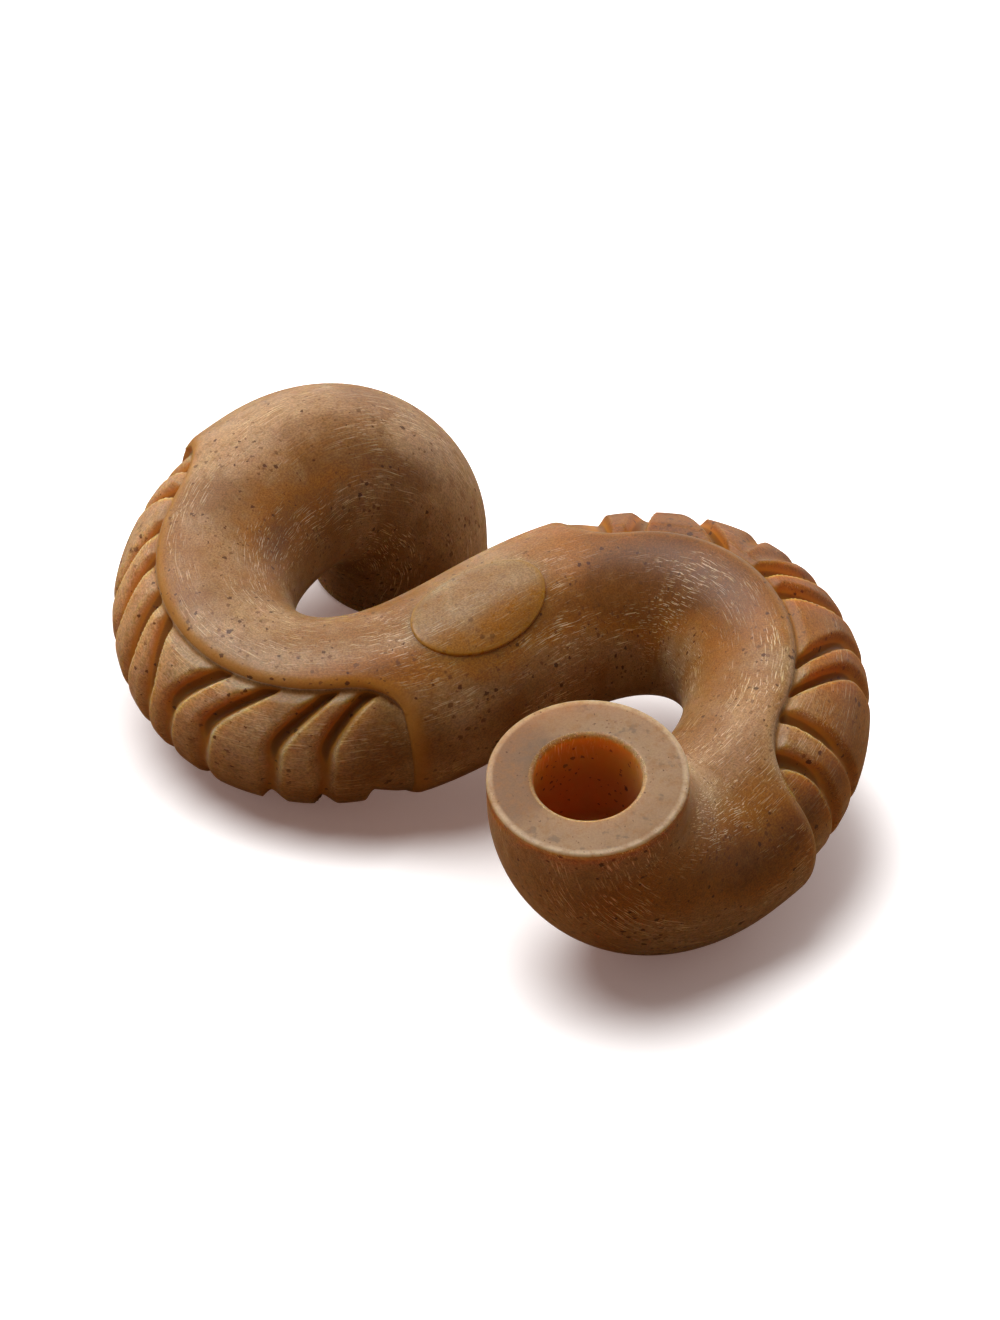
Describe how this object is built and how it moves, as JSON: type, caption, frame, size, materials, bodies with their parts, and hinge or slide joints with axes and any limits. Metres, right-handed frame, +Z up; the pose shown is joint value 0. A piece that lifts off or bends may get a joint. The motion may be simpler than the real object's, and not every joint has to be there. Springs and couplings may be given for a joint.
{
  "type": "dog chew toy",
  "caption": "S-shaped moulded nylon dog chew with a cupped end on each loop and a ribbed tread let into the outer side of each loop.",
  "frame": {"origin": "on the floor, under the middle of the bar, with the chew lying as it rests by itself on three points", "axes": "+Z up from the floor, +X to the right and +Y away as the chew is seen from the side of its upward cup"},
  "size_m": [0.129, 0.1434, 0.0441],
  "materials": {
    "nylon_body": "satin translucent tan nylon with dark specks and fine scratches",
    "nylon_tread": "satin translucent brown nylon, amber in the grooves"
  },
  "bodies": {
    "root": {"chew_body": "nylon_body", "right_tread": "nylon_tread", "left_tread": "nylon_tread"}
  },
  "joints": []
}
